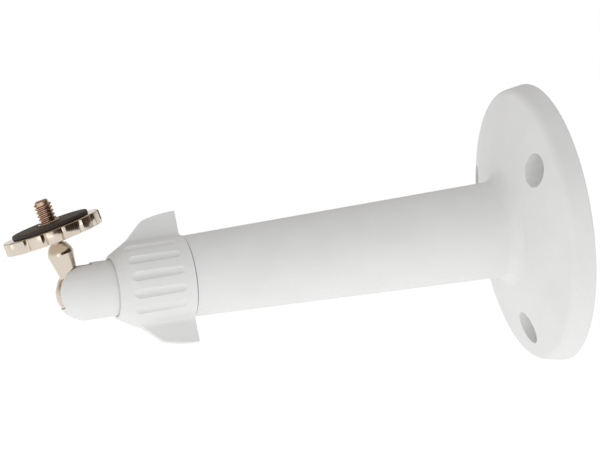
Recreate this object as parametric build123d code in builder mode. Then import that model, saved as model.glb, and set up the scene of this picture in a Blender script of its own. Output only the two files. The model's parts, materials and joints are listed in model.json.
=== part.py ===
from build123d import *
import math
import os

# Camera wall bracket: a round screw-down base, a tapered hollow arm, and at its tip a split
# ball socket that a winged collar clamps. The ball carries a short stud with a 1/4 inch
# camera screw, a notched lock disc and a rubber pad.
# Millimetres. The wall is the plane y = 0, the arm runs along -Y and +Z is up.

os.makedirs("parts", exist_ok=True)

# base flange
BASE_BACK_R = 50.0       # at the wall
BASE_EDGE_R = 48.5       # front corner of the drafted rim
BASE_EDGE_H = 8.1        # rim height
DOME_H = 16.0            # where the coned front meets the arm
DOME_BULGE = 1.1         # how far the cone bows outwards at its middle
POCKET_DEPTH = 5.5       # relief moulded into the back
POCKET_R = 47.0
HUB_R = 20.0             # ring left standing around the arm's bore
RIB_COUNT = 12
RIB_W = 2.0

# wall screw holes
HOLE_CIRCLE_R = 36.5
HOLE_COUNT = 3
HOLE_ANGLE = 33.0        # first hole, from +X towards +Z
HOLE_R = 2.6
COUNTERBORE_R = 5.9
HOLE_FLOOR = 3.4         # plastic left under a screw head
BOSS_R = 8.2

# arm
ARM_L = 133.2            # wall to the arm's end face
TUBE_ROOT_R = 17.3       # at DOME_H
TUBE_TIP_R = 14.25       # at ARM_L
WALL = 2.6
STEP_Y = 122.0           # the bore narrows here to hold the bush
ROOT_FILLET = 5.0
EDGE_ROUNDING = 3.2
BACK_ROUNDING = 0.6
BORE_LEAN = 0.65         # how much wider the bore is at STEP_Y than at the tip

# thread bush in the arm's end, with its ring nut and the washer in front of it
BUSH_R = 10.9            # inside the arm
BUSH_THREAD_R = 12.4     # inside the collar
BUSH_BORE_R = 9.2
BUSH_TAIL_R = 10.4
BUSH_FRONT = 147.0
BUSH_BACK = 113.0
BUSH_CHAMFER = 0.6
NUT_R = 12.0
NUT_L = 5.4
NUT_SLOT_W = 3.0
NUT_SLOT_D = 1.6
PLAY = 0.05              # clearance between fitted pieces
WASHER_R = 12.2
WASHER_T = 0.6

# split socket
SOCKET_R = 9.85
SOCKET_FLANGE_R = 11.2
SOCKET_TAIL_R = 8.9
SOCKET_BORE_R = 7.2
SOCKET_BACK = 109.5
FLANGE_BACK = 147.8
FLANGE_FRONT = 151.5
CONE_FRONT = 156.5
NOSE_CENTRE = 170.2      # centre of the domed nose
SLOT_HALF_W = 3.65
SLOT_BACK = 166.5
SLOT_DROP = 42.0         # degrees below the arm's axis where the slot ends
CLIP_GROOVE_R = 8.0
CLIP_Y = 111.5
CLIP_T = 1.0
CLIP_GAP = 9.0           # mouth of the C

# ball and what presses on it
BALL_Y = 173.2
BALL_R = 7.0
SEAT_RIM = 167.2
SEAT_BACK = 161.0
CUSHION_BACK = 152.0
PLUG_BACK = 145.0
PLUG_HEX_R = 3.5
PLUG_HEX_DEPTH = 4.0
RING_BACK = 151.2        # clamp ring
RING_FRONT = 154.4
RING_R = 12.4
RING_IN_R = 11.5
RING_NOSE_R = 11.2
RING_TIP_R = 10.7
RING_RIM = 0.8           # length of its full-radius rim

# collar
COLLAR_BACK = 133.55
COLLAR_FRONT = 160.0
COLLAR_R = 14.6
COLLAR_NOSE_R = 11.1
COLLAR_BORE_R = 12.7
COLLAR_LIP_R = 10.15
CONE_IN_BACK = 151.9     # inner cone that pushes the clamp ring
CONE_IN_FRONT = 156.2
CONE_IN_R = 10.6
FLUTE_COUNT = 5          # on each side between the wings
FLUTE_PITCH = 24.5       # degrees
FLUTE_CUTTER_R = 2.1
FLUTE_DEPTH = 0.65
FLUTE_START = 138.6
FLUTE_END = 157.5
FLUTE_TILT = 1.4         # degrees towards the axis, so the flutes run out on the nose
WING_LEAN = -13.3        # degrees from +Z about the arm's axis
WING_TIP_R = 23.5
WING_BEND = (-146.0, 21.6)    # shoulder of the wing's outline, along the arm and out from it
WING_FOOT = (-152.4, 15.6)
WING_CROWN = (-139.8, 23.0)
WING_ROOT_FILLET = 1.8
WING_T = 3.0
BEND_ROUNDING = 4.0
FOOT_ROUNDING = 7.0
LIP_ROUNDING = 0.7

# stem, measured along it from the ball's centre
STEM_ANGLE = 77.0        # degrees above the arm's axis as stored
BALL_FLAT = 6.2
NECK_R = 3.3
NECK_TOP = 7.4
SHOULDER_R = 4.6
SHOULDER = 14.4
STUD_TOP = 18.2
STUD_TOP_R = 3.0
STUD_CAP_MID = (4.12, 16.4)
SCREW_R = 3.175          # 1/4 inch major diameter
SCREW_ROOT_R = 2.9
SCREW_FOOT = 13.3
SCREW_THREAD = 26.8      # full diameter from here up, clear of the disc's hub
SCREW_TIP = 34.4
SCREW_CHAMFER = 0.6
DISC_BOTTOM = 20.1
DISC_TOP = 24.6
DISC_R = 17.5
DISC_BORE_R = 3.45
DISC_BOSS_R = 6.4
DISC_BOSS_H = 1.0
DISC_HUB_R = 3.9
DISC_HUB_H = 2.0
NOTCH_COUNT = 16
NOTCH_R = 1.3
NOTCH_OUT = 0.4          # how far the notch centres lie outside the rim
DISC_CHAMFER = 0.35
PAD_R = 13.8
PAD_HOLE_R = 4.3
PAD_BOTTOM = 24.65
PAD_T = 1.4
PAD_ROUNDING = 0.35

# frames: the stem's own plane (z along the stem) and the plane that holds its profile (y along it)
stem_c = math.cos(math.radians(STEM_ANGLE))
stem_s = math.sin(math.radians(STEM_ANGLE))
BALL_CENTRE = (0, -BALL_Y, 0)
STEM_DIR = (0, -stem_c, stem_s)
STEM = Plane(origin=BALL_CENTRE, x_dir=(1, 0, 0), z_dir=STEM_DIR)
STEM_SECTION = Plane(origin=BALL_CENTRE, x_dir=(1, 0, 0), z_dir=(0, -stem_s, -stem_c))
STEM_AXIS = Axis(BALL_CENTRE, STEM_DIR)


def rims(part, radius, y):
    """Circular edges of this radius around the arm's axis at this distance from the wall."""
    circles = part.edges().filter_by(GeomType.CIRCLE)
    return [e for e in circles if abs(e.radius - radius) < 0.02 and abs(e.arc_center.Y + y) < 0.02]


def save(builder, name):
    """Label a finished piece and write it as its own STEP file."""
    builder.part.label = name
    export_step(builder.part, f"parts/{name}.step")


# Base flange and arm, one hollow moulding
with BuildPart() as base_arm:
    with BuildSketch(Plane.YZ):
        with BuildLine():
            Polyline((0, 0), (0, BASE_BACK_R), (-BASE_EDGE_H, BASE_EDGE_R))
            dome_mid = (-(BASE_EDGE_H + DOME_H) / 2 - DOME_BULGE, (BASE_EDGE_R + TUBE_ROOT_R) / 2)
            ThreePointArc((-BASE_EDGE_H, BASE_EDGE_R), dome_mid, (-DOME_H, TUBE_ROOT_R))
            Polyline((-DOME_H, TUBE_ROOT_R), (-ARM_L, TUBE_TIP_R), (-ARM_L, 0), (0, 0))
        make_face()
    revolve(axis=Axis.Y)
    fillet(rims(base_arm, TUBE_ROOT_R, DOME_H), radius=ROOT_FILLET)
    fillet(rims(base_arm, BASE_EDGE_R, BASE_EDGE_H), radius=EDGE_ROUNDING)
    fillet(rims(base_arm, BASE_BACK_R, 0), radius=BACK_ROUNDING)
    # bore of the arm, open at the wall and stepped near the tip
    with BuildSketch(Plane.YZ):
        Polygon(
            (0, 0), (0, TUBE_ROOT_R - WALL), (-DOME_H, TUBE_ROOT_R - WALL),
            (-STEP_Y, TUBE_TIP_R - WALL + BORE_LEAN), (-STEP_Y, BUSH_R), (-ARM_L, BUSH_R), (-ARM_L, 0),
            align=None,
        )
    revolve(axis=Axis.Y, mode=Mode.SUBTRACT)
    # relief behind the flange, with radial ribs and a boss around each screw hole
    with BuildSketch(Plane.XZ):
        Circle(POCKET_R)
        Circle(HUB_R, mode=Mode.SUBTRACT)
        with PolarLocations((POCKET_R + HUB_R) / 2, RIB_COUNT, start_angle=HOLE_ANGLE):
            Rectangle(POCKET_R - HUB_R + 2, RIB_W, mode=Mode.SUBTRACT)
        with PolarLocations(HOLE_CIRCLE_R, HOLE_COUNT, start_angle=HOLE_ANGLE):
            Circle(BOSS_R, mode=Mode.SUBTRACT)
    extrude(amount=POCKET_DEPTH, mode=Mode.SUBTRACT)
    with BuildSketch(Plane.XZ.offset(HOLE_FLOOR)):
        with PolarLocations(HOLE_CIRCLE_R, HOLE_COUNT, start_angle=HOLE_ANGLE):
            Circle(COUNTERBORE_R)
    extrude(amount=2 * DOME_H, mode=Mode.SUBTRACT)
    with BuildSketch(Plane.XZ):
        with PolarLocations(HOLE_CIRCLE_R, HOLE_COUNT, start_angle=HOLE_ANGLE):
            Circle(HOLE_R)
    extrude(amount=HOLE_FLOOR + 1, mode=Mode.SUBTRACT)
save(base_arm, "base_arm")

# Threaded bush that the collar runs on
with BuildPart() as thread_bush:
    with BuildSketch(Plane.YZ):
        Polygon(
            (-BUSH_FRONT, BUSH_BORE_R), (-BUSH_FRONT, BUSH_THREAD_R), (-ARM_L, BUSH_THREAD_R),
            (-ARM_L, BUSH_R), (-STEP_Y, BUSH_R), (-STEP_Y, BUSH_TAIL_R),
            (-BUSH_BACK, BUSH_TAIL_R), (-BUSH_BACK, BUSH_BORE_R),
            align=None,
        )
    revolve(axis=Axis.Y)
    chamfer(rims(thread_bush, BUSH_THREAD_R, BUSH_FRONT), length=BUSH_CHAMFER)
save(thread_bush, "thread_bush")

# Ring nut that pulls the bush against the arm's inner step, with two spanner slots
with BuildPart() as bush_nut:
    with BuildSketch(Plane.XZ.offset(STEP_Y - NUT_L)):
        Circle(NUT_R)
        Circle(BUSH_TAIL_R + PLAY, mode=Mode.SUBTRACT)
    extrude(amount=NUT_L)
    with BuildSketch(Plane.XZ.offset(STEP_Y - NUT_L)):
        Rectangle(3 * NUT_R, NUT_SLOT_W)
    extrude(amount=NUT_SLOT_D, mode=Mode.SUBTRACT)
save(bush_nut, "bush_nut")

# Plain washer that the socket's flange turns on
with BuildPart() as pan_washer:
    with BuildSketch(Plane.XZ.offset(BUSH_FRONT + PLAY)):
        Circle(WASHER_R)
        Circle(BUSH_BORE_R + 0.1, mode=Mode.SUBTRACT)
    extrude(amount=WASHER_T)
save(pan_washer, "pan_washer")

# Split socket: domed nose around the ball, clamping cone, flange, long tail through the bush
with BuildPart() as split_socket:
    with BuildSketch(Plane.YZ):
        with BuildLine():
            Polyline(
                (-SOCKET_BACK, 0), (-SOCKET_BACK, SOCKET_TAIL_R), (-FLANGE_BACK, SOCKET_TAIL_R),
                (-FLANGE_BACK, SOCKET_FLANGE_R), (-FLANGE_FRONT, SOCKET_FLANGE_R),
                (-CONE_FRONT, SOCKET_R), (-NOSE_CENTRE, SOCKET_R),
            )
            CenterArc((-NOSE_CENTRE, 0), SOCKET_R, 90, 90)
            Line((-NOSE_CENTRE - SOCKET_R, 0), (-SOCKET_BACK, 0))
        make_face()
    revolve(axis=Axis.Y)
    # bore for the ball and the parts behind it, ending in the ball's own curve
    with BuildSketch(Plane.YZ):
        with BuildLine():
            Polyline((-BALL_Y, SOCKET_BORE_R), (-SOCKET_BACK, SOCKET_BORE_R), (-SOCKET_BACK, 0))
            CenterArc((-BALL_Y, 0), SOCKET_BORE_R, 90, 90)
            Line((-BALL_Y - SOCKET_BORE_R, 0), (-SOCKET_BACK, 0))
        make_face()
    revolve(axis=Axis.Y, mode=Mode.SUBTRACT)
    # slot from the top round the nose to below the axis
    drop = math.radians(SLOT_DROP)
    reach = 2 * SOCKET_R
    with BuildSketch(Plane.YZ):
        Polygon(
            (-BALL_Y, 0), (-SLOT_BACK, 0), (-SLOT_BACK, reach), (-BALL_Y - reach, reach),
            (-BALL_Y - reach, -reach * math.tan(drop)),
            align=None,
        )
    extrude(amount=SLOT_HALF_W, both=True, mode=Mode.SUBTRACT)
    # groove for the retaining clip
    with BuildSketch(Plane.XZ.offset(CLIP_Y - PLAY)):
        Circle(SOCKET_TAIL_R + 1)
        Circle(CLIP_GROOVE_R, mode=Mode.SUBTRACT)
    extrude(amount=CLIP_T + 2 * PLAY, mode=Mode.SUBTRACT)
save(split_socket, "split_socket")

# C-shaped clip behind the bush that keeps the socket's tail from pulling out
with BuildPart() as retaining_clip:
    with BuildSketch(Plane.XZ.offset(CLIP_Y)):
        Circle(BUSH_TAIL_R)
        Circle(CLIP_GROOVE_R + PLAY, mode=Mode.SUBTRACT)
        with Locations((0, -BUSH_TAIL_R)):
            Rectangle(CLIP_GAP, CLIP_GAP, mode=Mode.SUBTRACT)
    extrude(amount=CLIP_T)
save(retaining_clip, "retaining_clip")

# Cupped seat that bears on the back of the ball
with BuildPart() as ball_seat:
    with BuildSketch(Plane.XZ.offset(SEAT_BACK)):
        Circle(SOCKET_BORE_R - 0.1)
    extrude(amount=SEAT_RIM - SEAT_BACK)
    with Locations(BALL_CENTRE):
        Sphere(BALL_R + 0.15, mode=Mode.SUBTRACT)
save(ball_seat, "ball_seat")

# Rubber cushion that keeps a light push on the seat
with BuildPart() as seat_cushion:
    with BuildSketch(Plane.XZ.offset(CUSHION_BACK)):
        Circle(SOCKET_BORE_R - 0.5)
    extrude(amount=SEAT_BACK - CUSHION_BACK)
save(seat_cushion, "seat_cushion")

# Plug screwed in behind the cushion, with a hexagon socket
with BuildPart() as preload_plug:
    with BuildSketch(Plane.XZ.offset(PLUG_BACK)):
        Circle(SOCKET_BORE_R - PLAY)
    extrude(amount=CUSHION_BACK - PLUG_BACK)
    with BuildSketch(Plane.XZ.offset(PLUG_BACK)):
        RegularPolygon(radius=PLUG_HEX_R, side_count=6)
    extrude(amount=PLUG_HEX_DEPTH, mode=Mode.SUBTRACT)
save(preload_plug, "preload_plug")

# Clamp ring: slides with the collar without turning and wedges the socket's cone
with BuildPart() as clamp_ring:
    with BuildSketch(Plane.YZ):
        Polygon(
            (-RING_BACK, RING_IN_R), (-RING_BACK, RING_R), (-RING_BACK - RING_RIM, RING_R),
            (-RING_FRONT, RING_NOSE_R), (-RING_FRONT, RING_TIP_R),
            align=None,
        )
    revolve(axis=Axis.Y)
save(clamp_ring, "clamp_ring")

# Collar with two finger wings and short flutes between them. Its side view is one outline turned
# full round; the end view then leaves the round body and the two wings standing.
with BuildPart() as clamp_collar:
    with BuildSketch(Plane.YZ) as side_view:
        with BuildLine():
            Line((-COLLAR_BACK, 0), (-COLLAR_BACK, WING_TIP_R))
            ThreePointArc((-COLLAR_BACK, WING_TIP_R), WING_CROWN, WING_BEND)
            Polyline(
                WING_BEND, WING_FOOT, (-COLLAR_FRONT, COLLAR_NOSE_R), (-COLLAR_FRONT, 0),
                (-COLLAR_BACK, 0),
            )
        make_face()
        fillet(side_view.vertices().sort_by_distance((*WING_BEND, 0))[0], radius=BEND_ROUNDING)
        fillet(side_view.vertices().sort_by_distance((*WING_FOOT, 0))[0], radius=FOOT_ROUNDING)
        fillet(side_view.vertices().sort_by_distance((-COLLAR_FRONT, COLLAR_NOSE_R, 0))[0], radius=LIP_ROUNDING)
    revolve(axis=Axis.Y)
    with BuildSketch(Plane.XZ.offset(COLLAR_BACK)) as end_view:
        Circle(COLLAR_R)
        Rectangle(WING_T, 3 * WING_TIP_R, rotation=-WING_LEAN)
        across = Vector(math.cos(math.radians(WING_LEAN)), -math.sin(math.radians(WING_LEAN)))
        roots = [
            v for v in end_view.vertices()
            if abs(Vector(v.X, v.Y).length - COLLAR_R) < 0.01
            and abs(abs(Vector(v.X, v.Y).dot(across)) - WING_T / 2) < 0.01
        ]
        fillet(roots, radius=WING_ROOT_FILLET)
    extrude(amount=COLLAR_FRONT - COLLAR_BACK, mode=Mode.INTERSECT)
    # flutes, round-ended at the back and running out on the nose
    for side in (0, 180):
        for i in range(FLUTE_COUNT):
            turn = WING_LEAN + side + 90 + (i - (FLUTE_COUNT - 1) / 2) * FLUTE_PITCH
            centre_r = COLLAR_R - FLUTE_DEPTH + FLUTE_CUTTER_R
            end_r = centre_r - (FLUTE_END - FLUTE_START) * math.tan(math.radians(FLUTE_TILT))
            out = math.radians(turn)
            start = Vector(math.sin(out) * centre_r, -FLUTE_START, math.cos(out) * centre_r)
            end = Vector(math.sin(out) * end_r, -FLUTE_END, math.cos(out) * end_r)
            along = (end - start).normalized()
            with BuildSketch(Plane(origin=start, z_dir=along)):
                Circle(FLUTE_CUTTER_R)
            extrude(amount=(end - start).length, mode=Mode.SUBTRACT)
            with Locations(start):
                Sphere(FLUTE_CUTTER_R, mode=Mode.SUBTRACT)
    # stepped bore: thread at the back, inner cone, lip around the socket
    with BuildSketch(Plane.YZ):
        Polygon(
            (-COLLAR_BACK, 0), (-COLLAR_BACK, COLLAR_BORE_R), (-CONE_IN_BACK, COLLAR_BORE_R),
            (-CONE_IN_FRONT, CONE_IN_R), (-CONE_IN_FRONT, COLLAR_LIP_R), (-COLLAR_FRONT, COLLAR_LIP_R),
            (-COLLAR_FRONT, 0),
            align=None,
        )
    revolve(axis=Axis.Y, mode=Mode.SUBTRACT)
save(clamp_collar, "clamp_collar")

# Ball with a flat where the stud screws on
with BuildPart() as ball:
    with Locations(BALL_CENTRE):
        Sphere(BALL_R)
    with BuildSketch(STEM.offset(BALL_FLAT)):
        Circle(BALL_R)
    extrude(amount=BALL_R, mode=Mode.SUBTRACT)
save(ball, "ball")

# Stud: slim neck that widens to a shoulder under a rounded cap, bored for the camera screw
with BuildPart() as stud:
    with BuildSketch(STEM_SECTION):
        with BuildLine():
            Polyline(
                (0, BALL_FLAT + PLAY), (NECK_R, BALL_FLAT + PLAY), (NECK_R, NECK_TOP),
                (SHOULDER_R, SHOULDER),
            )
            ThreePointArc((SHOULDER_R, SHOULDER), STUD_CAP_MID, (STUD_TOP_R, STUD_TOP))
            Polyline((STUD_TOP_R, STUD_TOP), (0, STUD_TOP), (0, BALL_FLAT + PLAY))
        make_face()
    revolve(axis=STEM_AXIS)
    with BuildSketch(STEM.offset(SCREW_FOOT)):
        Circle(SCREW_ROOT_R)
    extrude(amount=STUD_TOP, mode=Mode.SUBTRACT)
save(stud, "stud")

# Camera screw: plain core where the disc and pad sit, full diameter above them
with BuildPart() as camera_screw:
    with BuildSketch(STEM_SECTION):
        Polygon(
            (0, SCREW_FOOT), (SCREW_ROOT_R, SCREW_FOOT), (SCREW_ROOT_R, SCREW_THREAD),
            (SCREW_R, SCREW_THREAD), (SCREW_R, SCREW_TIP - SCREW_CHAMFER),
            (SCREW_R - SCREW_CHAMFER, SCREW_TIP), (0, SCREW_TIP),
            align=None,
        )
    revolve(axis=STEM_AXIS)
save(camera_screw, "camera_screw")

# Lock disc: notched thumb nut with a boss below and a hub through the pad
with BuildPart() as lock_disc:
    with BuildSketch(STEM.offset(DISC_BOTTOM)):
        Circle(DISC_R)
    extrude(amount=DISC_TOP - DISC_BOTTOM)
    chamfer(lock_disc.edges().filter_by(GeomType.CIRCLE), length=DISC_CHAMFER)
    with BuildSketch(STEM.offset(DISC_BOTTOM)):
        with PolarLocations(DISC_R + NOTCH_OUT, NOTCH_COUNT):
            Circle(NOTCH_R)
    extrude(amount=DISC_TOP - DISC_BOTTOM, mode=Mode.SUBTRACT)
    with BuildSketch(STEM.offset(DISC_BOTTOM - DISC_BOSS_H)):
        Circle(DISC_BOSS_R)
    extrude(amount=DISC_BOSS_H)
    with BuildSketch(STEM.offset(DISC_TOP)):
        Circle(DISC_HUB_R)
    extrude(amount=DISC_HUB_H)
    with BuildSketch(STEM.offset(DISC_BOTTOM - 2)):
        Circle(DISC_BORE_R)
    extrude(amount=DISC_TOP, mode=Mode.SUBTRACT)
save(lock_disc, "lock_disc")

# Rubber pad that the camera's foot presses on
with BuildPart() as disc_pad:
    with BuildSketch(STEM.offset(PAD_BOTTOM)):
        Circle(PAD_R)
        Circle(PAD_HOLE_R, mode=Mode.SUBTRACT)
    extrude(amount=PAD_T)
    fillet(disc_pad.edges().sort_by(STEM_AXIS)[-2:], radius=PAD_ROUNDING)
save(disc_pad, "disc_pad")
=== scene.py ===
"""Wall bracket for a small camera: the looks, built around its packed mechanical model."""
import json
import logging
import math
from dataclasses import dataclass, field
from enum import Enum

import bmesh
import bpy
from mathutils import Matrix, Vector


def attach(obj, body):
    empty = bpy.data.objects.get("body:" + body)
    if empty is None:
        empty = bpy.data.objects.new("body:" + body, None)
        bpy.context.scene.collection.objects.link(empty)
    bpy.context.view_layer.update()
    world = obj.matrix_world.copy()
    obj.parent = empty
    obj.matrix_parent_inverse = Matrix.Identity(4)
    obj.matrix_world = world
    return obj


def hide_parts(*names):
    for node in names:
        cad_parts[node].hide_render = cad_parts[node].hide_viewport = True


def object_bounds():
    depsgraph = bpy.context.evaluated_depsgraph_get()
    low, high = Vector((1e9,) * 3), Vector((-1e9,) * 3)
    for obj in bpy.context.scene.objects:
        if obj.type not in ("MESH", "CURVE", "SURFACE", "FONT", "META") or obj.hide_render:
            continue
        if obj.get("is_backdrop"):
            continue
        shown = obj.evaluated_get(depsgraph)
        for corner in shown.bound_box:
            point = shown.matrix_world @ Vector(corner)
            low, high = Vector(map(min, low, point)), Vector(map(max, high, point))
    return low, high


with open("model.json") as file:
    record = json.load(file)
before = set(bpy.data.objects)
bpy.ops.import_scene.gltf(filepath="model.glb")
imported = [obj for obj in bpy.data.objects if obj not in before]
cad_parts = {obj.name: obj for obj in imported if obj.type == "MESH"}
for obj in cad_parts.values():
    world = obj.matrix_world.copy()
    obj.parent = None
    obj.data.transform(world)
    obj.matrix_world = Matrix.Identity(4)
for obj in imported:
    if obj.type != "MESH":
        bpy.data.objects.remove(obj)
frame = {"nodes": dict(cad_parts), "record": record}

Colour = tuple[float, float, float]
Stops = tuple[tuple[float, Colour], ...]

LOG = logging.getLogger("bracket")
MM = 0.001
# In metres: corners closer than WELD are joined, and an edge that climbs less than FLAT is level.
WELD = 0.00001
FLAT = 1e-7
ARM_AXIS = Vector((0.0, -1.0, 0.0))
# The Mix node has one set of sockets for each data type; these are its colour ones.
MIX_A = 6
MIX_B = 7
MIX_RESULT = 2


class Turning(Enum):
    """The axis that a metal part's fine lathe lines run round."""

    ARM = "arm"
    STEM = "stem"


def joint_line(name: str) -> tuple[Vector, Vector]:
    """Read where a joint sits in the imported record.

    Args:
        name: the joint's name.

    Returns:
        A point on the joint's axis and the axis as a unit vector, in metres.
    """
    for joint in frame["record"]["behaviour"]["joints"]:
        if joint["name"] == name:
            return Vector(joint["pos_m"]), Vector(joint["axis"]).normalized()
    raise ValueError(f"no joint named {name}")


BALL_CENTRE, STEM_AXIS = joint_line("stud_twist")


def stem_matrix() -> Matrix:
    """Work out where a piece made along +Z from the ball's centre stands on the stem.

    Returns:
        The matrix that takes the piece there.
    """
    side = Vector((1.0, 0.0, 0.0))
    ahead = STEM_AXIS.cross(side).normalized()
    turn = Matrix((side, ahead, STEM_AXIS)).transposed()
    return Matrix.Translation(BALL_CENTRE) @ turn.to_4x4()


# ---------------------------------------------------------------------------------------------
# Shader node groups
# ---------------------------------------------------------------------------------------------


class NodeBench:
    """A short-hand for placing and wiring nodes in one tree."""

    def __init__(self, tree: bpy.types.NodeTree) -> None:
        """Keep the tree that nodes are added to."""
        self.tree = tree

    def add(self, kind: str, **settings: object) -> bpy.types.Node:
        """Add a node.

        Args:
            kind: the node's type name.
            settings: properties to set on it.

        Returns:
            The new node.
        """
        node = self.tree.nodes.new(kind)
        for key, value in settings.items():
            setattr(node, key, value)
        return node

    def wire(self, source: bpy.types.NodeSocket, target: bpy.types.NodeSocket) -> None:
        """Link an output to an input."""
        self.tree.links.new(source, target)

    def maths(self, operation: str, a: object, b: object) -> bpy.types.NodeSocket:
        """Add a Math node whose inputs are sockets or numbers.

        Args:
            operation: the Math node's operation.
            a: first input, a socket or a number.
            b: second input, a socket or a number.

        Returns:
            The node's output socket.
        """
        node = self.add("ShaderNodeMath", operation=operation)
        for socket, value in zip(node.inputs, (a, b)):
            if isinstance(value, bpy.types.NodeSocket):
                self.wire(value, socket)
            else:
                socket.default_value = value
        return node.outputs[0]

    def spread(self, value: bpy.types.NodeSocket, low: float, high: float) -> bpy.types.NodeSocket:
        """Stretch a mask with a Map Range node.

        Args:
            value: the mask, 0 to 1.
            low: result at 0.
            high: result at 1.

        Returns:
            The stretched value's socket.
        """
        node = self.add("ShaderNodeMapRange")
        self.wire(value, node.inputs["Value"])
        node.inputs["To Min"].default_value = low
        node.inputs["To Max"].default_value = high
        return node.outputs["Result"]


def new_group(name: str, inputs: dict[str, float], outputs: dict[str, str]) -> bpy.types.NodeTree:
    """Start a shader node group with named sockets.

    Args:
        name: the group's name.
        inputs: input names with their defaults, all numbers.
        outputs: output names with their socket types.

    Returns:
        The new tree, with its Group Input and Group Output nodes in place.
    """
    tree = bpy.data.node_groups.new(name, "ShaderNodeTree")
    for key, value in inputs.items():
        socket = tree.interface.new_socket(name=key, in_out="INPUT", socket_type="NodeSocketFloat")
        socket.default_value = value
    for key, kind in outputs.items():
        tree.interface.new_socket(name=key, in_out="OUTPUT", socket_type=kind)
    tree.nodes.new("NodeGroupInput").name = "in"
    tree.nodes.new("NodeGroupOutput").name = "out"
    return tree


def mould_grain_group() -> bpy.types.NodeTree:
    """Build the fine leathery texture and faint mottling of a moulded plastic surface."""
    tree = new_group(
        "mould_grain",
        {"Grain Scale": 1500.0, "Mottle Scale": 60.0},
        {"Grain": "NodeSocketFloat", "Mottle": "NodeSocketFloat"},
    )
    bench = NodeBench(tree)
    ends = tree.nodes
    place = bench.add("ShaderNodeTexCoord").outputs["Object"]
    grain = bench.add("ShaderNodeTexNoise")
    grain.inputs["Detail"].default_value = 3.0
    grain.inputs["Roughness"].default_value = 0.6
    bench.wire(place, grain.inputs["Vector"])
    bench.wire(ends["in"].outputs["Grain Scale"], grain.inputs["Scale"])
    cells = bench.add("ShaderNodeTexVoronoi")
    bench.wire(place, cells.inputs["Vector"])
    bench.wire(ends["in"].outputs["Grain Scale"], cells.inputs["Scale"])
    mottle = bench.add("ShaderNodeTexNoise")
    mottle.inputs["Detail"].default_value = 4.0
    bench.wire(place, mottle.inputs["Vector"])
    bench.wire(ends["in"].outputs["Mottle Scale"], mottle.inputs["Scale"])
    mixed = bench.maths("MULTIPLY", grain.outputs["Fac"], cells.outputs["Distance"])
    bench.wire(mixed, ends["out"].inputs["Grain"])
    bench.wire(mottle.outputs["Fac"], ends["out"].inputs["Mottle"])
    return tree


def lathe_lines_group() -> bpy.types.NodeTree:
    """Build the faint rings that turning leaves on plated metal, with soft handling smudges."""
    tree = new_group(
        "lathe_lines",
        {"Tilt": 0.0, "Line Scale": 4000.0, "Smudge Scale": 90.0},
        {"Lines": "NodeSocketFloat", "Smudge": "NodeSocketFloat"},
    )
    bench = NodeBench(tree)
    ends = tree.nodes
    place = bench.add("ShaderNodeTexCoord").outputs["Object"]
    turned = bench.add("ShaderNodeVectorRotate", rotation_type="X_AXIS")
    bench.wire(place, turned.inputs["Vector"])
    bench.wire(ends["in"].outputs["Tilt"], turned.inputs["Angle"])
    parts = bench.add("ShaderNodeSeparateXYZ")
    bench.wire(turned.outputs["Vector"], parts.inputs["Vector"])
    lines = bench.add("ShaderNodeTexNoise", noise_dimensions="1D")
    lines.inputs["Detail"].default_value = 2.0
    bench.wire(parts.outputs["Z"], lines.inputs["W"])
    bench.wire(ends["in"].outputs["Line Scale"], lines.inputs["Scale"])
    smudge = bench.add("ShaderNodeTexNoise")
    smudge.inputs["Detail"].default_value = 3.0
    bench.wire(place, smudge.inputs["Vector"])
    bench.wire(ends["in"].outputs["Smudge Scale"], smudge.inputs["Scale"])
    bench.wire(lines.outputs["Fac"], ends["out"].inputs["Lines"])
    bench.wire(smudge.outputs["Fac"], ends["out"].inputs["Smudge"])
    return tree


# ---------------------------------------------------------------------------------------------
# Finishes
# ---------------------------------------------------------------------------------------------


def start_material(name: str) -> tuple[bpy.types.Material, NodeBench, bpy.types.Node]:
    """Make an empty node material.

    Args:
        name: the material's name.

    Returns:
        The material, a bench for its tree and its Principled BSDF.
    """
    material = bpy.data.materials.new(name)
    material.use_nodes = True
    shader = material.node_tree.nodes["Principled BSDF"]
    return material, NodeBench(material.node_tree), shader


def ramp(
    bench: NodeBench, factor: bpy.types.NodeSocket, low: Colour, high: Colour
) -> bpy.types.NodeSocket:
    """Blend two colours by a mask.

    Args:
        bench: where the node goes.
        factor: the mask, 0 to 1.
        low: colour at 0.
        high: colour at 1.

    Returns:
        The blended colour's socket.
    """
    node = bench.add("ShaderNodeMix", data_type="RGBA")
    bench.wire(factor, node.inputs["Factor"])
    node.inputs[MIX_A].default_value = (*low, 1.0)
    node.inputs[MIX_B].default_value = (*high, 1.0)
    return node.outputs[MIX_RESULT]


def bump(bench: NodeBench, shader: bpy.types.Node, height: bpy.types.NodeSocket, depth: float) -> None:
    """Raise fine relief on a surface.

    Args:
        bench: where the Bump node goes.
        shader: the Principled BSDF whose normal it feeds.
        height: the relief, 0 to 1.
        depth: how deep the relief is at 1, in metres.
    """
    node = bench.add("ShaderNodeBump")
    node.inputs["Strength"].default_value = 1.0
    node.inputs["Distance"].default_value = depth
    bench.wire(height, node.inputs["Height"])
    bench.wire(node.outputs["Normal"], shader.inputs["Normal"])


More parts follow.
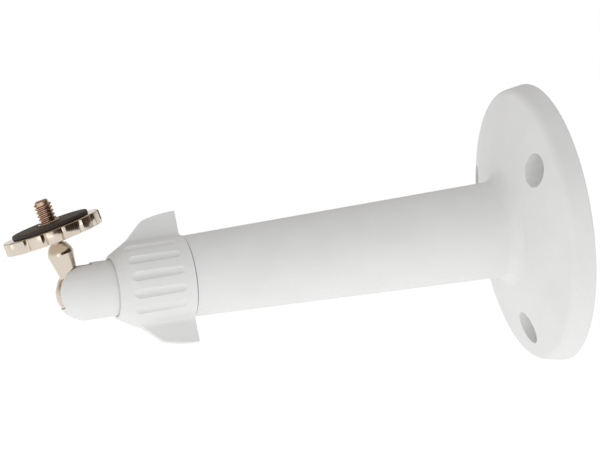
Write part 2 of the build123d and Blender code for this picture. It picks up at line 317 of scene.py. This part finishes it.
@dataclass(frozen=True)
class MouldedPlastic:
    """Matt plastic straight from a textured mould."""

    name: str
    colour: Colour
    shade: Colour
    roughness: tuple[float, float] = (0.46, 0.6)
    grain_scale: float = 1500.0
    grain_depth: float = 0.00006
    mottle_contrast: tuple[float, float] = (-0.3, 1.3)
    specular: float = 0.35

    def build(self, grain: bpy.types.NodeTree) -> bpy.types.Material:
        """Make the material.

        Args:
            grain: the mould_grain node group.

        Returns:
            The finished material.
        """
        material, bench, shader = start_material(self.name)
        group = bench.add("ShaderNodeGroup", node_tree=grain)
        group.inputs["Grain Scale"].default_value = self.grain_scale
        mask = bench.spread(group.outputs["Mottle"], *self.mottle_contrast)
        bench.wire(ramp(bench, mask, self.shade, self.colour), shader.inputs["Base Color"])
        rough = bench.spread(group.outputs["Mottle"], *self.roughness)
        bench.wire(rough, shader.inputs["Roughness"])
        shader.inputs["Specular IOR Level"].default_value = self.specular
        bump(bench, shader, group.outputs["Grain"], self.grain_depth)
        return material


@dataclass(frozen=True)
class PlatedMetal:
    """Turned metal with a bright or dull plate over fine lathe lines."""

    name: str
    colour: Colour
    shade: Colour
    roughness: tuple[float, float]
    turning: Turning
    line_depth: float = 0.000002

    def build(self, lathe: bpy.types.NodeTree) -> bpy.types.Material:
        """Make the material.

        Args:
            lathe: the lathe_lines node group.

        Returns:
            The finished material.
        """
        material, bench, shader = start_material(self.name)
        group = bench.add("ShaderNodeGroup", node_tree=lathe)
        axis = STEM_AXIS if self.turning is Turning.STEM else ARM_AXIS
        group.inputs["Tilt"].default_value = -math.atan2(-axis.y, axis.z)
        smudge = group.outputs["Smudge"]
        bench.wire(ramp(bench, smudge, self.shade, self.colour), shader.inputs["Base Color"])
        bench.wire(bench.spread(smudge, *self.roughness), shader.inputs["Roughness"])
        shader.inputs["Metallic"].default_value = 1.0
        bump(bench, shader, group.outputs["Lines"], self.line_depth)
        return material


@dataclass(frozen=True)
class DarkRubber:
    """Matt dark rubber with a dusty bloom."""

    name: str
    colour: Colour
    bloom: Colour
    roughness: tuple[float, float] = (0.5, 0.75)
    grain_scale: float = 2200.0
    bloom_scale: float = 240.0
    grain_depth: float = 0.0001

    def build(self, grain: bpy.types.NodeTree) -> bpy.types.Material:
        """Make the material.

        Args:
            grain: the mould_grain node group.

        Returns:
            The finished material.
        """
        material, bench, shader = start_material(self.name)
        group = bench.add("ShaderNodeGroup", node_tree=grain)
        group.inputs["Grain Scale"].default_value = self.grain_scale
        group.inputs["Mottle Scale"].default_value = self.bloom_scale
        dust = group.outputs["Mottle"]
        bench.wire(ramp(bench, dust, self.colour, self.bloom), shader.inputs["Base Color"])
        bench.wire(bench.spread(dust, *self.roughness), shader.inputs["Roughness"])
        bump(bench, shader, group.outputs["Grain"], self.grain_depth)
        return material


@dataclass
class Finishes:
    """Every material of the bracket, built once."""

    white: bpy.types.Material = field(init=False)
    nickel: bpy.types.Material = field(init=False)
    # The camera screw's plate: the nickel made darker and browner, painted dark reflection in its
    # colour.
    screw_painted_reflection: bpy.types.Material = field(init=False)
    zinc: bpy.types.Material = field(init=False)
    acetal: bpy.types.Material = field(init=False)
    rubber: bpy.types.Material = field(init=False)

    def __post_init__(self) -> None:
        """Build the node groups and the materials that use them."""
        grain = mould_grain_group()
        lathe = lathe_lines_group()
        self.white = MouldedPlastic(
            "white_moulding", (0.83, 0.83, 0.825), (0.78, 0.78, 0.775)
        ).build(grain)
        self.acetal = MouldedPlastic(
            "natural_acetal", (0.82, 0.81, 0.76), (0.74, 0.73, 0.68), (0.3, 0.4), 700.0, 0.00002
        ).build(grain)
        self.nickel = PlatedMetal(
            "warm_nickel", (0.72, 0.65, 0.56), (0.62, 0.54, 0.45), (0.08, 0.18), Turning.STEM
        ).build(lathe)
        # The camera screw's plate is the nickel made darker and browner: painted dark reflection of the
        # rubber pad and the dim ceiling, put into its colour and its darker smudge tone.
        self.screw_painted_reflection = PlatedMetal(
            "screw_painted_dark_reflection", (0.72, 0.55, 0.43), (0.42, 0.29, 0.22), (0.12, 0.26), Turning.STEM
        ).build(lathe)
        self.zinc = PlatedMetal(
            "dull_zinc", (0.60, 0.60, 0.58), (0.46, 0.46, 0.45), (0.3, 0.5), Turning.ARM, 0.000004
        ).build(lathe)
        self.rubber = DarkRubber(
            "pad_rubber", (0.03, 0.021, 0.018), (0.075, 0.054, 0.047)
        ).build(grain)


# ---------------------------------------------------------------------------------------------
# Shared making steps
# ---------------------------------------------------------------------------------------------


def dress(node: str, material: bpy.types.Material) -> None:
    """Give a carried-over part one material and report it.

    Args:
        node: the part's name in the frame.
        material: its finish.
    """
    part = frame["nodes"][node]
    part.data.materials.clear()
    part.data.materials.append(material)
    LOG.info("dressed %s in %s", node, material.name)


def finish_piece(
    mesh: bmesh.types.BMesh, name: str, place: Matrix, material: bpy.types.Material, sharp: float
) -> bpy.types.Object:
    """Turn a bmesh into an object at the origin with smooth, outward faces.

    Args:
        mesh: the finished shape along +Z; it is freed here.
        name: the piece's name.
        place: where the shape goes in the frame.
        material: its finish.
        sharp: edges steeper than this many degrees stay sharp.

    Returns:
        The linked object.
    """
    bmesh.ops.remove_doubles(mesh, verts=mesh.verts, dist=WELD)
    bmesh.ops.recalc_face_normals(mesh, faces=mesh.faces)
    mesh.transform(place)
    limit = math.radians(sharp)
    for face in mesh.faces:
        face.smooth = True
    for edge in mesh.edges:
        edge.smooth = len(edge.link_faces) == 2 and edge.calc_face_angle(0.0) < limit
    data = bpy.data.meshes.new(name)
    mesh.to_mesh(data)
    mesh.free()
    data.materials.append(material)
    piece = bpy.data.objects.new(name, data)
    bpy.context.collection.objects.link(piece)
    LOG.info("made %s with %d faces", name, len(data.polygons))
    return piece


def lathe_profile(mesh: bmesh.types.BMesh, points: list[tuple[float, float]], steps: int) -> None:
    """Spin an (r, z) line in millimetres a full turn about Z.

    Args:
        mesh: the bmesh to add to.
        points: the line's corners; an end at r = 0 closes there.
        steps: divisions of the turn.
    """
    verts = [mesh.verts.new((r * MM, 0.0, z * MM)) for r, z in points]
    edges = [mesh.edges.new(pair) for pair in zip(verts, verts[1:])]
    bmesh.ops.spin(
        mesh, geom=verts + edges, cent=(0, 0, 0), axis=(0, 0, 1),
        angle=2 * math.pi, steps=steps, use_merge=True,
    )


# ---------------------------------------------------------------------------------------------
# Sub-assemblies
# ---------------------------------------------------------------------------------------------


@dataclass
class ArmAndSocket:
    """The moulded base and arm, the winged collar, the split socket and what they hide."""

    mouldings: tuple[str, ...] = ("base_arm", "clamp_collar", "split_socket")
    plated: tuple[str, ...] = ("thread_bush", "bush_nut", "retaining_clip", "preload_plug")
    slippery: tuple[str, ...] = ("pan_washer", "ball_seat", "clamp_ring")

    def dress(self, finishes: Finishes) -> None:
        """Give each part its material.

        Args:
            finishes: the bracket's materials.
        """
        for node in self.mouldings:
            dress(node, finishes.white)
        for node in self.plated:
            dress(node, finishes.zinc)
        for node in self.slippery:
            dress(node, finishes.acetal)
        dress("seat_cushion", finishes.rubber)


@dataclass
class BallStud:
    """The ball and the stud that grows out of it, in millimetres along the stem."""

    neck_foot: float = 6.25
    neck_r: float = 3.3
    flare: float = 7.4
    shoulder: float = 14.4
    shoulder_r: float = 4.6
    top: float = 18.2
    top_r: float = 3.0
    cap_curve: float = 1.8
    cap_steps: int = 10
    shoulder_in: float = 0.08
    shoulder_down: float = 0.15
    steps: int = 96
    sharp: float = 24.0

    def build(self, finishes: Finishes) -> bpy.types.Object:
        """Turn the stud with a crisp shoulder under a rounded cap.

        Args:
            finishes: the bracket's materials.

        Returns:
            The stud.
        """
        dress("ball", finishes.nickel)
        drop = self.shoulder_r - self.top_r
        rise = self.top - self.shoulder
        shares = [step / self.cap_steps for step in range(1, self.cap_steps + 1)]
        cap = [(self.top_r + drop * (1 - t ** self.cap_curve), self.shoulder + rise * t) for t in shares]
        mesh = bmesh.new()
        lathe_profile(
            mesh,
            [(0, self.neck_foot), (self.neck_r, self.neck_foot), (self.neck_r, self.flare),
             (self.shoulder_r - self.shoulder_in, self.shoulder - self.shoulder_down),
             (self.shoulder_r, self.shoulder), *cap, (0, self.top)],
            self.steps,
        )
        piece = finish_piece(mesh, "stud_turned", stem_matrix(), finishes.nickel, self.sharp)
        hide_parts("stud")
        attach(piece, "stem")
        return piece


@dataclass
class CameraScrew:
    """The 1/4 inch screw with its rolled thread, in millimetres along the stem."""

    crest_r: float = 3.175
    root_r: float = 2.42
    pitch: float = 1.27
    foot: float = 18.2
    tip: float = 34.4
    chamfer: float = 0.6
    lead_in: float = 0.6
    root_sink: float = 0.15
    foot_sink: float = 0.4
    sunk_share: float = 0.94
    flank_share: float = 0.9
    crest_share: float = 0.16
    steps: int = 40
    sharp: float = 38.0

    def thread(self, mesh: bmesh.types.BMesh) -> None:
        """Add the helical ridge, sunk a little into the core and closed at both ends.

        Args:
            mesh: the bmesh to add to.
        """
        start = self.foot + self.lead_in
        turns = (self.tip - self.chamfer - start) / self.pitch - 1.0
        half = self.pitch / 2
        rising = (
            (self.root_r - self.root_sink, half * self.sunk_share),
            (self.root_r, half * self.flank_share),
            (self.crest_r, half * self.crest_share),
        )
        profile = [(r, -z) for r, z in rising] + list(reversed(rising))
        verts = [mesh.verts.new((r * MM, 0.0, (start + half + z) * MM)) for r, z in profile]
        edges = [mesh.edges.new((verts[i], verts[(i + 1) % len(verts)])) for i in range(len(verts))]
        count = round(turns * self.steps)
        bmesh.ops.spin(
            mesh, geom=verts + edges, cent=(0, 0, 0), axis=(0, 0, 1), angle=turns * 2 * math.pi,
            dvec=(0, 0, turns * self.pitch * MM / count), steps=count,
        )
        open_rims = [edge for edge in mesh.edges if len(edge.link_faces) == 1]
        bmesh.ops.holes_fill(mesh, edges=open_rims, sides=0)

    def build(self, finishes: Finishes) -> bpy.types.Object:
        """Make the threaded screw.

        Args:
            finishes: the bracket's materials.

        Returns:
            The screw.
        """
        mesh = bmesh.new()
        self.thread(mesh)
        foot = self.foot - self.foot_sink
        lathe_profile(
            mesh,
            [(0, foot), (self.root_r, foot), (self.root_r, self.tip - self.chamfer),
             (self.root_r - self.chamfer, self.tip), (0, self.tip)],
            self.steps,
        )
        # The screw wears the darkened nickel, whose brown is painted dark reflection.
        piece = finish_piece(
            mesh, "camera_screw_threaded", stem_matrix(), finishes.screw_painted_reflection, self.sharp
        )
        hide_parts("camera_screw")
        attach(piece, "stem")
        return piece


@dataclass
class LockDisc:
    """The notched thumb nut under the camera, in millimetres along the stem."""

    bottom: float = 20.1
    top: float = 24.6
    radius: float = 17.5
    lobes: int = 16
    notch_depth: float = 0.9
    notch_share: float = 0.34
    notch_curve: float = 0.8
    lobe_points: int = 14
    crowding: float = 0.06
    edge_round: float = 0.38
    edge_segments: int = 3
    boss_r: float = 6.4
    boss_h: float = 1.0
    hub_r: float = 3.9
    hub_h: float = 2.0
    bore_r: float = 3.45
    ring_sink: float = 0.2
    ring_chamfer: float = 0.3
    ring_steps: int = 72
    sharp: float = 30.0

    def rim_radius(self, share: float) -> float:
        """Find how far out the rim stands, dipping into a round notch between two lobes.

        Args:
            share: the place along one lobe, from 0 to 1 with a notch at both ends.

        Returns:
            The rim's radius there.
        """
        near = min(share, 1.0 - share) / (self.notch_share / 2)
        if near >= 1.0:
            return self.radius
        dip = (0.5 + 0.5 * math.cos(math.pi * near)) ** self.notch_curve
        return self.radius - self.notch_depth * dip

    def bore_ring(
        self, mesh: bmesh.types.BMesh, level: float, sign: int, reach: float, height: float
    ) -> None:
        """Add a chamfered ring around the bore, sunk a little into a face of the disc.

        Args:
            mesh: the bmesh to add to.
            level: where that face is along the stem.
            sign: 1 for a ring that stands up, -1 for one that hangs down.
            reach: the ring's outer radius.
            height: how far it stands out.
        """
        end = level + sign * height
        root = level - sign * self.ring_sink
        lathe_profile(
            mesh,
            [(self.bore_r, root), (self.bore_r, end), (reach - self.ring_chamfer, end),
             (reach, end - sign * self.ring_chamfer), (reach, root), (self.bore_r, root)],
            self.ring_steps,
        )

    def build(self, finishes: Finishes) -> bpy.types.Object:
        """Make the disc: a scalloped blank with rounded edges, a boss below and a hub above.

        Args:
            finishes: the bracket's materials.

        Returns:
            The disc.
        """
        mesh = bmesh.new()
        count = self.lobes * self.lobe_points
        blank = bmesh.ops.create_circle(mesh, cap_ends=True, segments=count, radius=self.radius * MM)
        for i, vert in enumerate(blank["verts"]):
            lobe, step = divmod(i, self.lobe_points)
            share = step / self.lobe_points
            # The points crowd towards the notches, where the rim curves most.
            eased = share - self.crowding * math.sin(2 * math.pi * share)
            angle = (lobe + eased) / self.lobes * 2 * math.pi
            reach = self.rim_radius(eased) * MM
            vert.co = (reach * math.cos(angle), reach * math.sin(angle), self.bottom * MM)
        upper = bmesh.ops.extrude_face_region(mesh, geom=mesh.faces[:], use_keep_orig=True)["geom"]
        lifted = [item for item in upper if isinstance(item, bmesh.types.BMVert)]
        bmesh.ops.translate(mesh, verts=lifted, vec=(0, 0, (self.top - self.bottom) * MM))
        rims = [edge for edge in mesh.edges if abs(edge.verts[0].co.z - edge.verts[1].co.z) < FLAT]
        bmesh.ops.bevel(
            mesh, geom=rims, offset=self.edge_round * MM, offset_type="OFFSET",
            segments=self.edge_segments, profile=0.5, affect="EDGES", material=-1, clamp_overlap=True,
        )
        self.bore_ring(mesh, self.bottom, -1, self.boss_r, self.boss_h)
        self.bore_ring(mesh, self.top, 1, self.hub_r, self.hub_h)
        piece = finish_piece(mesh, "lock_disc_notched", stem_matrix(), finishes.nickel, self.sharp)
        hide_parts("lock_disc")
        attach(piece, "disc")
        return piece


@dataclass
class RubberPad:
    """The rubber ring that the camera's foot presses on, in millimetres along the stem."""

    bottom: float = 24.65
    thick: float = 1.4
    radius: float = 13.8
    hole_r: float = 4.3
    rounding: float = 0.5
    rounding_steps: int = 6
    foot_chamfer: float = 0.2
    dish_share: float = 0.6
    dish_depth: float = 0.08
    hole_chamfer: float = 0.3
    steps: int = 96
    sharp: float = 40.0

    def build(self, finishes: Finishes) -> bpy.types.Object:
        """Make the pad with a rounded rim and a faintly dished face.

        Args:
            finishes: the bracket's materials.

        Returns:
            The pad.
        """
        top = self.bottom + self.thick
        quarter = [math.pi / 2 * t / self.rounding_steps for t in range(self.rounding_steps + 1)]
        rim = [
            (self.radius - self.rounding * (1 - math.cos(a)), top - self.rounding * (1 - math.sin(a)))
            for a in quarter
        ]
        mesh = bmesh.new()
        lathe_profile(
            mesh,
            [(self.hole_r, self.bottom), (self.radius - self.foot_chamfer, self.bottom),
             (self.radius, self.bottom + self.foot_chamfer), *rim,
             (self.radius * self.dish_share, top - self.dish_depth),
             (self.hole_r + self.hole_chamfer, top), (self.hole_r, top - self.hole_chamfer),
             (self.hole_r, self.bottom)],
            self.steps,
        )
        piece = finish_piece(mesh, "disc_pad_rubber", stem_matrix(), finishes.rubber, self.sharp)
        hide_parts("disc_pad")
        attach(piece, "stem")
        return piece


# ---------------------------------------------------------------------------------------------
# Studio
# ---------------------------------------------------------------------------------------------


@dataclass
class Studio:
    """A pale floor, soft light and a slightly rolled camera beside the bracket.

    Places and distances are in metres, angles in degrees, the lens and sensor in millimetres.
    """

    azimuth: float = 74.134
    elevation: float = 2.4
    roll: float = -7.837
    distance: float = 1.26388
    target: tuple[float, float, float] = (0.0, -0.09021, 0.01184)
    lens: float = 216.0
    sensor: float = 36.0
    clip: tuple[float, float] = (0.05, 60.0)
    floor_size: float = 30.0
    floor_drop: float = 0.07
    floor_colour: Colour = (0.9, 0.9, 0.9)
    floor_roughness: float = 0.9
    floor_glow: float = 0.47
    lamp_place: tuple[float, float, float] = (0.9, -0.7, -0.02)
    lamp_size: float = 0.7
    lamp_power: float = 1.0
    dim_side: tuple[float, float, float] = (0.3, 0.3, 0.9)
    dim_stops: Stops = ((0.0, (0.95, 0.95, 0.94)), (1.0, (0.55, 0.55, 0.55)))
    dark_side: tuple[float, float, float] = (0.766, 0.643, 0.0)
    dark_stops: Stops = (
        (0.0, (0.92, 0.92, 0.9)), (0.62, (0.9, 0.88, 0.85)),
        (0.8, (0.14, 0.1, 0.08)), (1.0, (0.04, 0.03, 0.025)),
    )
    ceiling_stops: Stops = (
        (0.0, (1.0, 1.0, 1.0)), (0.55, (1.0, 1.0, 1.0)), (0.75, (0.42, 0.34, 0.25)),
    )

    def camera(self) -> None:
        """Place the camera."""
        a, e, roll = (math.radians(v) for v in (self.azimuth, self.elevation, self.roll))
        back = Vector((math.sin(a) * math.cos(e), -math.cos(a) * math.cos(e), math.sin(e)))
        level = Vector((math.cos(a), math.sin(a), 0.0))
        up = back.cross(level)
        right = math.cos(roll) * level + math.sin(roll) * up
        over = back.cross(right)
        data = bpy.data.cameras.new("studio_camera")
        data.lens = self.lens
        data.sensor_width = self.sensor
        data.clip_start, data.clip_end = self.clip
        camera = bpy.data.objects.new("studio_camera", data)
        turn = Matrix((right, over, back)).transposed().to_4x4()
        camera.matrix_world = Matrix.Translation(Vector(self.target) + back * self.distance) @ turn
        bpy.context.collection.objects.link(camera)
        bpy.context.scene.camera = camera

    def floor(self) -> None:
        """Lay a pale floor well under the bracket."""
        low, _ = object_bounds()
        mesh = bmesh.new()
        bmesh.ops.create_grid(mesh, x_segments=2, y_segments=2, size=self.floor_size)
        bmesh.ops.translate(mesh, verts=mesh.verts, vec=(0, 0, low.z - self.floor_drop))
        data = bpy.data.meshes.new("studio_floor")
        mesh.to_mesh(data)
        mesh.free()
        material, _, shader = start_material("floor_white")
        shader.inputs["Base Color"].default_value = (*self.floor_colour, 1.0)
        shader.inputs["Roughness"].default_value = self.floor_roughness
        shader.inputs["Emission Color"].default_value = (1.0, 1.0, 1.0, 1.0)
        shader.inputs["Emission Strength"].default_value = self.floor_glow
        data.materials.append(material)
        ground = bpy.data.objects.new("studio_floor", data)
        bpy.context.collection.objects.link(ground)
        ground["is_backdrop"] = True

    def softbox(self) -> None:
        """Stand one faint square light low in front, aimed at the target."""
        data = bpy.data.lights.new("front_low", "AREA")
        data.size = self.lamp_size
        data.energy = self.lamp_power
        lamp = bpy.data.objects.new("front_low", data)
        place = Vector(self.lamp_place)
        turn = (Vector(self.target) - place).to_track_quat("-Z", "Y").to_matrix().to_4x4()
        lamp.matrix_world = Matrix.Translation(place) @ turn
        bpy.context.collection.objects.link(lamp)

    def gradient(
        self, bench: NodeBench, axis: tuple[float, float, float], stops: Stops
    ) -> bpy.types.NodeSocket:
        """Shade the surroundings by how near a direction lies to an axis.

        Args:
            bench: a bench for the world's tree.
            axis: the direction where the shading ends.
            stops: places from 0 (away from the axis) to 1 (along it), each with its colour.

        Returns:
            The shaded colour's socket.
        """
        around = bench.add("ShaderNodeTexCoord").outputs["Generated"]
        facing = bench.add("ShaderNodeVectorMath", operation="DOT_PRODUCT")
        bench.wire(around, facing.inputs[0])
        facing.inputs[1].default_value = Vector(axis).normalized()
        near = bench.maths("ADD", bench.maths("MULTIPLY", facing.outputs["Value"], 0.5), 0.5)
        shades = bench.add("ShaderNodeValToRGB")
        marks = shades.color_ramp.elements
        while len(marks) < len(stops):
            marks.new(0.5)
        for mark, (place, _) in zip(marks, stops):
            mark.position = place
        for mark, (_, colour) in zip(marks, stops):
            mark.color = (*colour, 1.0)
        bench.wire(near, shades.inputs["Fac"])
        return shades.outputs["Color"]

    def sky(self) -> None:
        """Wrap the scene in soft light, with a dark side of the room for the metal to mirror.

        Gloss sees the room with its dark side and warm ceiling, the camera sees plain white, and
        everything else is lit by a white that dims towards one side.
        """
        world = bpy.data.worlds.new("studio_sky")
        world.use_nodes = True
        bpy.context.scene.world = world
        bench = NodeBench(world.node_tree)
        plain = world.node_tree.nodes["Background"]
        plain.inputs["Color"].default_value = (1.0, 1.0, 1.0, 1.0)
        ray = bench.add("ShaderNodeLightPath")
        around = self.gradient(bench, self.dark_side, self.dark_stops)
        overhead = self.gradient(bench, (0.0, 0.0, 1.0), self.ceiling_stops)
        both = bench.add("ShaderNodeMix", data_type="RGBA", blend_type="MULTIPLY")
        both.inputs["Factor"].default_value = 1.0
        bench.wire(around, both.inputs[MIX_A])
        bench.wire(overhead, both.inputs[MIX_B])
        mirrored = bench.add("ShaderNodeBackground")
        bench.wire(both.outputs[MIX_RESULT], mirrored.inputs["Color"])
        lit = bench.add("ShaderNodeBackground")
        bench.wire(self.gradient(bench, self.dim_side, self.dim_stops), lit.inputs["Color"])
        soft = lit.outputs["Background"]
        for chosen, kind in (
            (mirrored.outputs["Background"], "Is Glossy Ray"),
            (plain.outputs["Background"], "Is Camera Ray"),
        ):
            choose = bench.add("ShaderNodeMixShader")
            bench.wire(ray.outputs[kind], choose.inputs["Fac"])
            bench.wire(soft, choose.inputs[1])
            bench.wire(chosen, choose.inputs[2])
            soft = choose.outputs["Shader"]
        bench.wire(soft, world.node_tree.nodes["World Output"].inputs["Surface"])

    def build(self) -> None:
        """Set up camera, floor, light and surroundings."""
        self.camera()
        self.floor()
        self.sky()
        self.softbox()
        bpy.context.scene.view_settings.view_transform = "Standard"


def main() -> None:
    """Build the bracket's looks, then the studio."""
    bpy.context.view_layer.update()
    finishes = Finishes()
    ArmAndSocket().dress(finishes)
    for part in (BallStud(), CameraScrew(), LockDisc(), RubberPad()):
        piece = part.build(finishes)
        LOG.info("%s stands for its part", piece.name)
    Studio().build()


if __name__ == "__main__":
    logging.basicConfig(level=logging.INFO)
    main()
